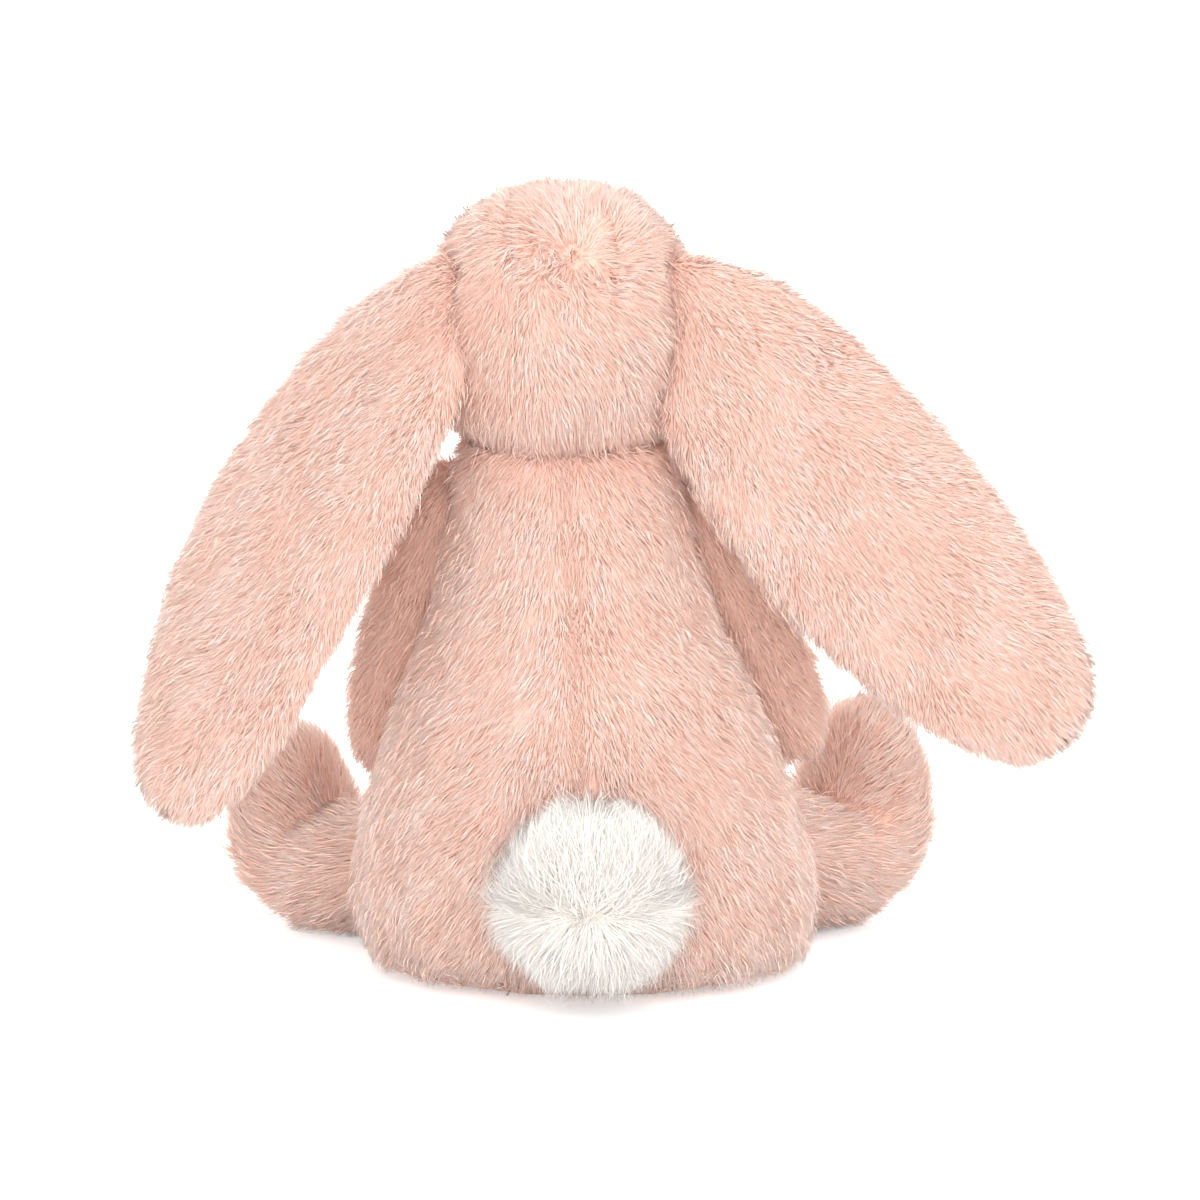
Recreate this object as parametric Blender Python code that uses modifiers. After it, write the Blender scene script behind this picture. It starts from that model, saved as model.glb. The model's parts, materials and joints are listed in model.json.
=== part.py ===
"""A sitting plush rabbit with lop ears: sewn fur covers over stuffing.

Metres, +Z up. The rabbit faces -Y and its left side is +X. The origin is the centre of the
flat base that it sits on. Each limb has a round root in a socket of the body and swings about
the root's centre. The head turns on the flat seam at the neck.
"""

import math

import bmesh
import bpy
from mathutils import Matrix, Vector
from mathutils.bvhtree import BVHTree

# Fabric
COVER_THICKNESS = 0.0025
SEAM_GAP = 0.0003
FILL_CLEARANCE = 0.0010
SOCKET_CLEARANCE = 0.0020

# Body, a pear that leans a little to the rabbit's left
BODY_HEIGHT = 0.134
SEAT_HALF_WIDTH = 0.0583
NECK_HALF_WIDTH = 0.028
BASE_HALF_WIDTH = 0.047
BACK_DEPTH_RATIO = 0.85
BELLY_DEPTH_RATIO = 0.88
BODY_LEAN = 0.0055
BASE_FLAT_CUT = 0.0005
BASE_SEAM_HEIGHT = 0.006
PELLET_BAG_HEIGHT = 0.024
NECK_OVERLAP = 0.008
NECK_TUCK_SHARE = 0.7
NECK_TIP_SHARE = 1.4
# Share of the body's height, and how far the width has grown from the neck's to the seat's
BODY_PROFILE = (
    (0.03, 0.92),
    (0.14, 1.04),
    (0.34, 0.86),
    (0.56, 0.44),
    (0.77, 0.08),
    (0.97, 0.02),
)

# Head, an egg with a muzzle in front
HEAD_HEIGHT = 0.0625
HEAD_HALF_WIDTH = 0.0348
HEAD_HALF_DEPTH = 0.0345
HEAD_SQUARENESS = 2.5
HEAD_SHIFT = 0.0063
# Heights of the head's sections, from -1 at its bottom to 1 at its top
HEAD_LEVELS = (-0.92, -0.60, 0.0, 0.60, 0.93)
MUZZLE_LENGTH = 0.009
MUZZLE_LEVEL = -0.05
MUZZLE_SPREAD = 0.42
GUSSET_HALF_WIDTH = 0.012

# Eyes and nose
EYE_RADIUS = 0.0042
EYE_HEIGHT = 0.0034
EYE_RIM = 0.0006
EYE_SHANK_RADIUS = 0.0012
EYE_SHANK_LENGTH = 0.0075
EYE_TURN_DEG = 36.0
EYE_RAISE_DEG = 9.0
EYE_ARC_DEG = (0.0, 25.0, 50.0, 70.0)
WASHER_RADIUS = 0.0045
WASHER_THICKNESS = 0.001
WASHER_CLEARANCE = 0.00025
NOSE_HALF_WIDTH = 0.0050
NOSE_HALF_HEIGHT = 0.0036
NOSE_HALF_DEPTH = 0.0030
NOSE_DROP_DEG = 8.0
NOSE_TAPER = 0.35
NOSE_PROUD_SHARE = 0.25

# Ears, two fur layers sewn back to back
EAR_LENGTH = 0.156
EAR_HALF_WIDTH = 0.0285
EAR_HALF_THICKNESS = 0.0062
EAR_ROOT_RADIUS = 0.0075
EAR_ROOT_HEIGHT = 0.040
EAR_ROOT_SINK = 0.0012
EAR_ROOT_BACK_SHARE = 0.55
EAR_ROOT_END_SHARE = 0.75
EAR_SET_BACK = 0.010
# Share of the length, half width as a share of the widest, half thickness as a share
EAR_PROFILE = (
    (0.09, 0.80, 1.10),
    (0.30, 1.06, 1.0),
    (0.58, 1.12, 1.0),
    (0.88, 0.74, 0.9),
)
# Degrees below level, degrees swept back, twist about the ear's length, sideways bow
EAR_HANG = {
    "left": (62.5, 8.0, 42.0, 0.010),
    "right": (48.8, 9.0, 6.0, -0.003),
}

# Arms
ARM_LENGTH = 0.078
ARM_ROOT_RADIUS = 0.0115
ARM_PAW_RADIUS = 0.0136
ARM_HEIGHT = 0.118
ARM_SET_FORWARD = 0.009
ARM_SPREAD_DEG = {"left": 15.5, "right": 24.0}
ARM_FORWARD_DEG = 15.0
ARM_ROOT_CUT = 0.004
# Share of the arm's length, and the radius there as a share of the root's or the paw's
ARM_ROOT_PROFILE = ((-0.06, 0.90), (0.06, 1.03))
ARM_PAW_PROFILE = ((0.50, 1.00), (0.92, 0.72))

# Legs, each with its foot turned up
HIP_HEIGHT = 0.0265
HIP_HALF_SPAN = 0.0375
HIP_SET_FORWARD = 0.0290
LEG_ROOT_RADIUS = 0.0165
LEG_RADIUS = 0.0205
FOOT_HALF_WIDTH = 0.0225
TOE_RADIUS = 0.0150
LEG_ROOT_CUT = 0.006
HEEL_REACH = 0.065
HEEL_HEIGHT = -0.011
TOE_REACH = 0.049
TOE_HEIGHT = {"left": 0.050, "right": 0.056}
SOLE_DEPTH = 0.017
# Shares of the way from hip to toe at the leg's sections, and how its ends are rounded off
LEG_SHARES = (-0.06, 0.06, 0.38, 0.70, 0.95)
LEG_ROOT_END_SHARE = 0.88
TOE_DEPTH_SHARE = 0.8
TOE_CAP_SHARE = 0.4
LEG_SPLAY_DEG = {"left": 53.0, "right": 44.0}

# Tail
TAIL_RADIUS = 0.0195
TAIL_HEIGHT = 0.0285
TAIL_SHIFT = -0.0018
TAIL_STAND_OFF = 0.007
TAIL_LEVELS = (-0.66, 0.0, 0.66)
TAIL_FULLNESS = 1.04

# Cage counts
BODY_SIDES = 8
HEAD_SIDES = 8
EAR_SIDES = 6
LIMB_SIDES = 6
TAIL_SIDES = 6
TURNED_STEPS = 12

# The least radius of a faceted ball's faces, as a share of its corners' radius
BALL_INSCRIBED = 0.934

# Larger than the whole toy, for cutters that trim to one side of a plane
FAR = 0.6

SIDES = {"left": 1.0, "right": -1.0}
UP = Vector((0.0, 0.0, 1.0))
LEFTWARD = Vector((1.0, 0.0, 0.0))
BACKWARD = Vector((0.0, 1.0, 0.0))

FABRICS = {
    "pink_fur": ((0.85, 0.58, 0.49), 0.9),
    "ear_lining": ((0.86, 0.62, 0.54), 0.9),
    "white_fluff": ((0.90, 0.86, 0.80), 0.95),
    "polyester_fill": ((0.88, 0.88, 0.86), 0.95),
    "pellet_cloth": ((0.72, 0.70, 0.66), 0.9),
    "eye_plastic": ((0.012, 0.010, 0.010), 0.12),
    "washer_plastic": ((0.80, 0.80, 0.78), 0.45),
    "nose_thread": ((0.72, 0.33, 0.31), 0.6),
}


def clear_scene():
    for old in list(bpy.data.objects):
        bpy.data.objects.remove(old, do_unlink=True)


def new_collection(name):
    made = bpy.data.collections.new(name)
    bpy.context.scene.collection.children.link(made)
    return made


def fabric(name):
    """The material of that name, made on first use."""
    if name in bpy.data.materials:
        return bpy.data.materials[name]
    colour, roughness = FABRICS[name]
    made = bpy.data.materials.new(name)
    made.use_nodes = True
    shader = made.node_tree.nodes["Principled BSDF"]
    shader.inputs["Base Color"].default_value = (*colour, 1.0)
    shader.inputs["Roughness"].default_value = roughness
    shader.inputs["Metallic"].default_value = 0.0
    made.diffuse_color = (*colour, 1.0)
    return made


def new_object(name, mesh, collection):
    made = bpy.data.objects.new(name, mesh)
    collection.objects.link(made)
    return made


def as_cutter(obj):
    obj.hide_render = True
    obj.display_type = "WIRE"
    return obj


def add_subdivision(obj):
    smooth = obj.modifiers.new("subdivision", "SUBSURF")
    smooth.levels = 1
    smooth.render_levels = 1


def add_boolean(obj, cutter, operation, solver="EXACT"):
    cut = obj.modifiers.new(operation.lower() + "_" + cutter.name, "BOOLEAN")
    cut.operation = operation
    cut.object = cutter
    cut.solver = solver


def swell(sides):
    """How much wider a round cage is than the surface that one subdivision makes of it."""
    return 1.0 / (0.75 + 0.25 * math.cos(2.0 * math.pi / sides))


def ring(centre, across, through, half_width, half_front, half_back):
    """One section of a soft form: half_front lies against `through`, half_back along it."""
    return centre, across, through, half_width, half_front, half_back


def cage_mesh(name, rings, start, end, sides, offset):
    """A sphere's grid laid over the rings from start to end, then moved out by offset."""
    made = bmesh.new()
    count = len(rings) + 1
    bmesh.ops.create_uvsphere(made, u_segments=sides, v_segments=count, radius=1.0)
    wider = swell(sides)
    for vertex in made.verts:
        polar = math.acos(max(-1.0, min(1.0, vertex.co.z)))
        index = round(polar / math.pi * count) - 1
        if index < 0:
            vertex.co = start
        elif index >= len(rings):
            vertex.co = end
        else:
            centre, across, through, half_width, half_front, half_back = rings[index]
            angle = math.atan2(vertex.co.y, vertex.co.x)
            depth = half_back if math.sin(angle) > 0.0 else half_front
            vertex.co = (
                centre
                + across * (half_width * wider * math.cos(angle))
                + through * (depth * wider * math.sin(angle))
            )
    if made.calc_volume(signed=True) < 0.0:
        bmesh.ops.reverse_faces(made, faces=made.faces)
    made.normal_update()
    for vertex in made.verts:
        vertex.co += vertex.normal * offset
    mesh = bpy.data.meshes.new(name)
    made.to_mesh(mesh)
    made.free()
    mesh.shade_smooth()
    return mesh


class SoftForm:
    """One stuffed form: its outside, its hollow, its filling and the room it takes up."""

    def __init__(self, name, rings, start, end, sides, cutters):
        self.name = name
        self.shape = rings, start, end, sides
        self.cutters = cutters
        self.outside = cage_mesh(name + "_outside", *self.shape, 0.0)
        self.filling = cage_mesh(name + "_filling", *self.shape, -COVER_THICKNESS - FILL_CLEARANCE)
        self.hollow = self.tool("hollow", -COVER_THICKNESS)
        self.room = self.tool("room", SEAM_GAP)

    def tool(self, what, offset):
        mesh = cage_mesh(self.name + "_" + what, *self.shape, offset)
        made = as_cutter(new_object("cut_" + mesh.name, mesh, self.cutters))
        add_subdivision(made)
        return made

    def piece(self, name, mesh, material, collection, keep=(), cut=(), hollow=False, solver="EXACT"):
        made = new_object(name, mesh.copy(), collection)
        made.data.materials.append(fabric(material))
        add_subdivision(made)
        if hollow:
            add_boolean(made, self.hollow, "DIFFERENCE", solver)
        for region in keep:
            add_boolean(made, region, "INTERSECT", solver)
        for tool in cut:
            add_boolean(made, tool, "DIFFERENCE", solver)
        return made

    def keep_out(self, roots):
        """The form's room without the limbs' round roots: it trims what lies against the form."""
        mesh = cage_mesh(self.name + "_keep_out", *self.shape, SEAM_GAP)
        made = as_cutter(new_object("cut_" + mesh.name, mesh, self.cutters))
        add_subdivision(made)
        for root in roots:
            add_boolean(made, root, "DIFFERENCE")
        return made

    def surface_towards(self, origin, direction):
        """Where a line from inside the form leaves it, and the outward normal there."""
        bpy.context.view_layer.update()
        tree = BVHTree.FromObject(self.room, bpy.context.evaluated_depsgraph_get())
        place, normal, _, _ = tree.ray_cast(origin, direction)
        return place - normal * SEAM_GAP, normal


def box_tool(name, low, high, cutters, matrix=None):
    made = bmesh.new()
    bmesh.ops.create_cube(made, size=1.0)
    low, high = Vector(low), Vector(high)
    bmesh.ops.scale(made, vec=high - low, verts=made.verts)
    bmesh.ops.translate(made, vec=(low + high) / 2.0, verts=made.verts)
    if matrix is not None:
        bmesh.ops.transform(made, matrix=matrix, verts=made.verts)
    mesh = bpy.data.meshes.new(name)
    made.to_mesh(mesh)
    made.free()
    return as_cutter(new_object("cut_" + name, mesh, cutters))


def side_tool(name, point, normal, cutters):
    """Everything on the side of a plane that its normal points to."""
    turn = normal.to_track_quat("Z", "Y").to_matrix().to_4x4()
    place = Matrix.Translation(point) @ turn
    return box_tool(name, (-FAR, -FAR, 0.0), (FAR, FAR, FAR), cutters, place)


def ball_tool(name, centre, radius, cutters):
    """A faceted ball that holds a round one of this radius."""
    made = bmesh.new()
    bmesh.ops.create_icosphere(made, subdivisions=1, radius=radius / BALL_INSCRIBED)
    bmesh.ops.translate(made, vec=centre, verts=made.verts)
    mesh = bpy.data.meshes.new(name)
    made.to_mesh(mesh)
    made.free()
    return as_cutter(new_object("cut_" + name, mesh, cutters))


def turned(name, profile, collection):
    """A profile of (radius, height) points, outer side top to bottom, spun about its axis."""
    made = bmesh.new()
    points = [made.verts.new((radius, 0.0, height)) for radius, height in profile]
    for first, second in zip(points, points[1:]):
        made.edges.new((first, second))
    mesh = bpy.data.meshes.new(name)
    made.to_mesh(mesh)
    made.free()
    obj = new_object(name, mesh, collection)
    spin = obj.modifiers.new("spin", "SCREW")
    spin.axis = "Z"
    spin.angle = 2.0 * math.pi
    spin.steps = TURNED_STEPS
    spin.render_steps = TURNED_STEPS
    spin.use_merge_vertices = True
    spin.merge_threshold = 0.00001
    return obj


def aim(obj, place, normal):
    obj.matrix_world = Matrix.Translation(place) @ normal.to_track_quat("Z", "Y").to_matrix().to_4x4()


def joint_empty(name, place, collection, parent=None):
    made = bpy.data.objects.new(name, None)
    made.empty_display_size = 0.01
    collection.objects.link(made)
    made.location = place
    if parent is not None:
        attach(made, parent)
    return made


def attach(obj, parent):
    """Parents obj and leaves it where it is."""
    bpy.context.view_layer.update()
    stays = obj.matrix_world.copy()
    obj.parent = parent
    obj.matrix_parent_inverse = parent.matrix_world.inverted()
    obj.matrix_world = stays


def body_axis(height):
    return Vector((BODY_LEAN * height / BODY_HEIGHT, 0.0, height))


def body_half_width(height):
    """The profile's half width at a height, straight between its points."""
    share = height / BODY_HEIGHT
    points = BODY_PROFILE
    growth = points[-1][1] if share > points[-1][0] else points[0][1]
    for (low, small), (high, large) in zip(points, points[1:]):
        if low <= share <= high:
            growth = small + (large - small) * (share - low) / (high - low)
    return NECK_HALF_WIDTH + (SEAT_HALF_WIDTH - NECK_HALF_WIDTH) * growth


def body_form(cutters):
    def section(height, half_width):
        depths = half_width * BELLY_DEPTH_RATIO, half_width * BACK_DEPTH_RATIO
        return ring(body_axis(height), LEFTWARD, BACKWARD, half_width, *depths)

    rings = [section(-BASE_FLAT_CUT, BASE_HALF_WIDTH)]
    for share, _ in BODY_PROFILE:
        height = share * BODY_HEIGHT
        rings.append(section(height, body_half_width(height)))
    rings.append(section(BODY_HEIGHT + NECK_OVERLAP, NECK_HALF_WIDTH * NECK_TUCK_SHARE))
    bottom = body_axis(-BASE_FLAT_CUT)
    top = body_axis(BODY_HEIGHT + NECK_OVERLAP * NECK_TIP_SHARE)
    return SoftForm("body", rings, bottom, top, BODY_SIDES, cutters)


def head_centre():
    return Vector((HEAD_SHIFT, 0.0, BODY_HEIGHT + SEAM_GAP + HEAD_HEIGHT / 2.0))


def head_form(cutters):
    centre = head_centre()
    half_height = HEAD_HEIGHT / 2.0 + NECK_OVERLAP / 2.0
    middle = centre - UP * (NECK_OVERLAP / 2.0)
    rings = []
    for level in HEAD_LEVELS:
        round_off = (1.0 - abs(level) ** HEAD_SQUARENESS) ** (1.0 / HEAD_SQUARENESS)
        muzzle = MUZZLE_LENGTH * math.exp(-(((level - MUZZLE_LEVEL) / MUZZLE_SPREAD) ** 2))
        rings.append(
            ring(
                middle + UP * (level * half_height),
                LEFTWARD,
                BACKWARD,
                HEAD_HALF_WIDTH * round_off,
                HEAD_HALF_DEPTH * round_off + muzzle,
                HEAD_HALF_DEPTH * round_off,
            )
        )
    low = middle - UP * half_height
    high = middle + UP * half_height
    return SoftForm("head", rings, low, high, HEAD_SIDES, cutters)


def ear_pivot(side, head):
    """On the head's side, a little behind its middle."""
    sign = SIDES[side]
    inside = Vector((HEAD_SHIFT, EAR_SET_BACK, BODY_HEIGHT + EAR_ROOT_HEIGHT))
    place, normal = head.surface_towards(inside, LEFTWARD * sign)
    return place - normal * EAR_ROOT_SINK


def ear_axes(side):
    """The ear's direction from root to tip, its width direction and its back's normal."""
    sign = SIDES[side]
    droop, sweep, twist, _ = EAR_HANG[side]
    level = LEFTWARD * sign
    along = Matrix.Rotation(math.radians(droop) * sign, 3, "Y") @ level
    along = (along + BACKWARD * math.tan(math.radians(sweep))).normalized()
    back = (BACKWARD - along * BACKWARD.dot(along)).normalized()
    back = Matrix.Rotation(math.radians(twist) * sign, 3, along) @ back
    return along, back.cross(along), back


def ear_form(side, pivot, cutters):
    along, across, back = ear_axes(side)
    bow = EAR_HANG[side][3]
    outward = across * (1.0 if across.z > 0.0 else -1.0)
    rings = [
        ring(
            pivot - along * (EAR_ROOT_RADIUS * EAR_ROOT_BACK_SHARE),
            across,
            back,
            *(3 * [EAR_ROOT_RADIUS * EAR_ROOT_END_SHARE]),
        )
    ]
    for share, width, thickness in EAR_PROFILE:
        centre = pivot + along * (share * EAR_LENGTH) + outward * (bow * math.sin(math.pi * share))
        half_thickness = EAR_HALF_THICKNESS * thickness
        rings.append(ring(centre, across, back, EAR_HALF_WIDTH * width, half_thickness, half_thickness))
    start = pivot - along * EAR_ROOT_RADIUS
    end = pivot + along * EAR_LENGTH
    return SoftForm("ear_" + side, rings, start, end, EAR_SIDES, cutters)


def arm_pivot(side):
    sign = SIDES[side]
    middle = body_axis(ARM_HEIGHT)
    return middle + LEFTWARD * (sign * body_half_width(ARM_HEIGHT)) - BACKWARD * ARM_SET_FORWARD


def arm_direction(side):
    sign = SIDES[side]
    spread = math.radians(ARM_SPREAD_DEG[side])
    forward = math.radians(ARM_FORWARD_DEG)
    return Vector((sign * math.tan(spread), -math.tan(forward), -1.0)).normalized()


def arm_form(side, pivot, cutters):
    along = arm_direction(side)
    across = BACKWARD.cross(along).normalized()
    through = along.cross(across)
    rings = []
    for full, profile in ((ARM_ROOT_RADIUS, ARM_ROOT_PROFILE), (ARM_PAW_RADIUS, ARM_PAW_PROFILE)):
        for share, part in profile:
            centre = pivot + along * (share * ARM_LENGTH)
            rings.append(ring(centre, across, through, *(3 * [full * part])))
    start = pivot - along * ARM_ROOT_RADIUS
    end = pivot + along * ARM_LENGTH
    return SoftForm("arm_" + side, rings, start, end, LIMB_SIDES, cutters)


def hip_pivot(side):
    return Vector((SIDES[side] * HIP_HALF_SPAN, -HIP_SET_FORWARD, HIP_HEIGHT))


def leg_direction(side):
    splay = math.radians(LEG_SPLAY_DEG[side])
    return Vector((SIDES[side] * math.sin(splay), -math.cos(splay), 0.0))


def leg_form(side, pivot, cutters):
    """A leg that lies forward from the hip and bends up at the heel into the foot."""
    forward = leg_direction(side)
    across = forward.cross(UP)
    heel = pivot + forward * HEEL_REACH + UP * (HEEL_HEIGHT - HIP_HEIGHT)
    toe = pivot + forward * TOE_REACH + UP * (TOE_HEIGHT[side] - HIP_HEIGHT)
    root_end = LEG_ROOT_RADIUS * LEG_ROOT_END_SHARE
    halves = (
        (root_end, root_end),
        (LEG_ROOT_RADIUS, LEG_ROOT_RADIUS),
        (LEG_RADIUS, LEG_RADIUS),
        (FOOT_HALF_WIDTH, (LEG_RADIUS + TOE_RADIUS) / 2.0),
        (TOE_RADIUS, TOE_RADIUS * TOE_DEPTH_SHARE),
    )
    rings = []
    for share, (half_width, half_depth) in zip(LEG_SHARES, halves):
        centre = pivot * (1 - share) ** 2 + heel * (2 * share * (1 - share)) + toe * share**2
        tangent = ((heel - pivot) * (1 - share) + (toe - heel) * share).normalized()
        through = tangent.cross(across)
        rings.append(ring(centre, across, through, half_width, half_depth, half_depth))
    start = pivot - forward * LEG_ROOT_RADIUS
    end = toe + UP * (TOE_RADIUS * TOE_CAP_SHARE)
    return SoftForm("leg_" + side, rings, start, end, LIMB_SIDES, cutters)


def tail_form(body, cutters):
    inside = body_axis(TAIL_HEIGHT) + LEFTWARD * TAIL_SHIFT
    seat, _ = body.surface_towards(inside, BACKWARD)
    centre = seat + BACKWARD * TAIL_STAND_OFF
    rings = []
    for level in TAIL_LEVELS:
        radius = TAIL_RADIUS * math.sqrt(1.0 - level**2) * TAIL_FULLNESS
        rings.append(ring(centre - UP * (level * TAIL_RADIUS), LEFTWARD, BACKWARD, *(3 * [radius])))
    start = centre + UP * TAIL_RADIUS
    end = centre - UP * TAIL_RADIUS
    return SoftForm("tail", rings, start, end, TAIL_SIDES, cutters)


def make_body(body, sockets, parts, cutters):
    lean = Matrix.Identity(4)
    lean[0][2] = BODY_LEAN / BODY_HEIGHT
    half = SEAM_GAP / 2.0
    low, high = BASE_SEAM_HEIGHT + half, BODY_HEIGHT
    regions = {
        "back_left": box_tool("left_back", (half, half, low), (FAR, FAR, high), cutters, lean),
        "back_right": box_tool("right_back", (-FAR, half, low), (-half, FAR, high), cutters, lean),
        "belly": box_tool("front", (-FAR, -FAR, low), (FAR, -half, high), cutters, lean),
        "base": box_tool("base", (-FAR, -FAR, 0.0), (FAR, FAR, BASE_SEAM_HEIGHT - half), cutters),
    }
    for name, region in regions.items():
        body.piece("body_" + name, body.outside, "pink_fur", parts, (region,), sockets, hollow=True)
    bag_low = COVER_THICKNESS + SEAM_GAP
    bag = box_tool("bag", (-FAR, -FAR, bag_low), (FAR, FAR, PELLET_BAG_HEIGHT), cutters)
    body.piece("seat_pellet_bag", body.filling, "pellet_cloth", parts, (bag,), sockets)
    fill_low = PELLET_BAG_HEIGHT + SEAM_GAP
    fill = box_tool("fill", (-FAR, -FAR, fill_low), (FAR, FAR, BODY_HEIGHT), cutters)
    body.piece("body_stuffing", body.filling, "polyester_fill", parts, (fill,), sockets)


def make_eye(side, head, parts, cutters):
    """A domed eye on a shank, and the lock washer that holds it behind the fabric."""
    sign = SIDES[side]
    turn, rise = math.radians(EYE_TURN_DEG), math.radians(EYE_RAISE_DEG)
    look = Vector((sign * math.sin(turn) * math.cos(rise), -math.cos(turn) * math.cos(rise), math.sin(rise)))
    place, normal = head.surface_towards(head_centre(), look)
    arc = [math.radians(step) for step in EYE_ARC_DEG]
    profile = [(EYE_RADIUS * math.sin(a), EYE_RIM + EYE_HEIGHT * math.cos(a)) for a in arc]
    profile += [(EYE_RADIUS, EYE_RIM), (EYE_RADIUS, 0.0), (EYE_SHANK_RADIUS, 0.0)]
    profile += [(EYE_SHANK_RADIUS, -EYE_SHANK_LENGTH), (0.0, -EYE_SHANK_LENGTH)]
    eye = turned("eye_" + side, profile, parts)
    eye.data.materials.append(fabric("eye_plastic"))
    aim(eye, place + normal * SEAM_GAP, normal)
    hole = EYE_SHANK_RADIUS + WASHER_CLEARANCE
    washer_ring = [(hole, 0.0), (WASHER_RADIUS, 0.0)]
    washer_ring += [(WASHER_RADIUS, -WASHER_THICKNESS), (hole, -WASHER_THICKNESS), (hole, 0.0)]
    washer = turned("eye_washer_" + side, washer_ring, parts)
    washer.data.materials.append(fabric("washer_plastic"))
    inner_radius = HEAD_HALF_WIDTH - COVER_THICKNESS
    bulge = inner_radius - math.sqrt(inner_radius**2 - WASHER_RADIUS**2)
    washer_depth = COVER_THICKNESS + 2.0 * bulge + SEAM_GAP
    aim(washer, place - normal * washer_depth, normal)
    deep = EYE_SHANK_LENGTH + SEAM_GAP
    shank = [(0.0, EYE_RIM), (hole, EYE_RIM), (hole, -deep), (0.0, -deep)]
    shank_hole = as_cutter(turned("cut_shank_" + side, shank, cutters))
    aim(shank_hole, place, normal)
    room = WASHER_RADIUS + SEAM_GAP
    pocket = [(0.0, EYE_RIM), (room, EYE_RIM), (room, -deep), (0.0, -deep)]
    washer_pocket = as_cutter(turned("cut_pocket_" + side, pocket, cutters))
    aim(washer_pocket, place, normal)
    return eye, washer, shank_hole, washer_pocket


def make_nose(head, parts):
    drop = math.radians(NOSE_DROP_DEG)
    place, normal = head.surface_towards(head_centre(), Vector((0.0, -math.cos(drop), -math.sin(drop))))
    made = bmesh.new()
    bmesh.ops.create_icosphere(made, subdivisions=2, radius=1.0)
    for vertex in made.verts:
        wide = 1.0 + NOSE_TAPER * vertex.co.y
        vertex.co = (
            vertex.co.x * NOSE_HALF_WIDTH * wide,
            vertex.co.y * NOSE_HALF_HEIGHT,
            vertex.co.z * NOSE_HALF_DEPTH,
        )
    mesh = bpy.data.meshes.new("nose")
    made.to_mesh(mesh)
    made.free()
    mesh.shade_smooth()
    nose = new_object("nose", mesh, parts)
    nose.data.materials.append(fabric("nose_thread"))
    aim(nose, place + normal * (NOSE_HALF_DEPTH * NOSE_PROUD_SHARE), normal)
    add_boolean(nose, head.room, "DIFFERENCE")
    return nose


def make_head(head, sockets, parts, cutters, pivot):
    low = BODY_HEIGHT + SEAM_GAP
    half = SEAM_GAP / 2.0
    left_edge = HEAD_SHIFT + GUSSET_HALF_WIDTH
    right_edge = HEAD_SHIFT - GUSSET_HALF_WIDTH
    regions = {
        "side_left": box_tool("head_left", (left_edge + half, -FAR, low), (FAR, FAR, FAR), cutters),
        "side_right": box_tool("head_right", (-FAR, -FAR, low), (right_edge - half, FAR, FAR), cutters),
        "gusset": box_tool("gusset", (right_edge + half, -FAR, low), (left_edge - half, FAR, FAR), cutters),
    }
    whole = box_tool("above_neck", (-FAR, -FAR, low), (FAR, FAR, FAR), cutters)
    eyes = {side: make_eye(side, head, parts, cutters) for side in SIDES}
    cuts = (*sockets, *(found[2] for found in eyes.values()))
    moving = []
    for name, region in regions.items():
        cover = head.piece("head_" + name, head.outside, "pink_fur", parts, (region,), cuts, hollow=True)
        moving.append(cover)
    cuts = (*sockets, *(found[3] for found in eyes.values()))
    moving.append(head.piece("head_stuffing", head.filling, "polyester_fill", parts, (whole,), cuts))
    moving.append(make_nose(head, parts))
    for eye, washer, _, _ in eyes.values():
        moving += [eye, washer]
    for piece in moving:
        attach(piece, pivot)


def make_ear(side, ear, pivot_place, keep_out, parts, cutters, pivot):
    _, _, back = ear_axes(side)
    half = SEAM_GAP / 2.0
    behind = side_tool("ear_back_" + side, pivot_place + back * half, back, cutters)
    before = side_tool("ear_front_" + side, pivot_place - back * half, -back, cutters)
    for name, region, material in (("back", behind, "pink_fur"), ("lining", before, "ear_lining")):
        name = "ear_" + side + "_" + name
        piece = ear.piece(name, ear.outside, material, parts, (region,), keep_out, solver="MANIFOLD")
        attach(piece, pivot)


def make_arm(side, arm, pivot_place, keep_out, parts, cutters, pivot):
    outward = LEFTWARD * SIDES[side]
    past_root = side_tool("arm_root_" + side, pivot_place - outward * ARM_ROOT_CUT, outward, cutters)
    name = "arm_" + side
    keep = (past_root,)
    pieces = (
        arm.piece(name + "_cover", arm.outside, "pink_fur", parts, keep, keep_out, hollow=True),
        arm.piece(name + "_stuffing", arm.filling, "polyester_fill", parts, keep, keep_out),
    )
    for piece in pieces:
        attach(piece, pivot)


def make_leg(side, leg, pivot_place, keep_out, parts, cutters, pivot):
    forward = leg_direction(side)
    frame = Matrix((forward.cross(UP), forward, UP)).transposed().to_4x4()
    frame.translation = Vector((pivot_place.x, pivot_place.y, 0.0))
    floor = SEAM_GAP / 2.0
    root = -LEG_ROOT_CUT
    sole = TOE_REACH + LEG_RADIUS - SOLE_DEPTH
    behind = box_tool("leg_" + side, (-FAR, root, floor), (FAR, sole, FAR), cutters, frame)
    before = box_tool("sole_" + side, (-FAR, sole + SEAM_GAP, floor), (FAR, FAR, FAR), cutters, frame)
    whole = box_tool("leg_fill_" + side, (-FAR, root, floor), (FAR, FAR, FAR), cutters, frame)
    name = "leg_" + side
    pieces = (
        leg.piece(name + "_cover", leg.outside, "pink_fur", parts, (behind,), keep_out, hollow=True),
        leg.piece(name + "_sole", leg.outside, "pink_fur", parts, (before,), hollow=True),
        leg.piece(name + "_stuffing", leg.filling, "polyester_fill", parts, (whole,), keep_out),
    )
    for piece in pieces:
        attach(piece, pivot)


def make_tail(tail, body, parts):
    tail.piece("tail_cover", tail.outside, "white_fluff", parts, (), (body.room,), hollow=True)
    tail.piece("tail_stuffing", tail.filling, "polyester_fill", parts, (), (body.room,))


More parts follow.
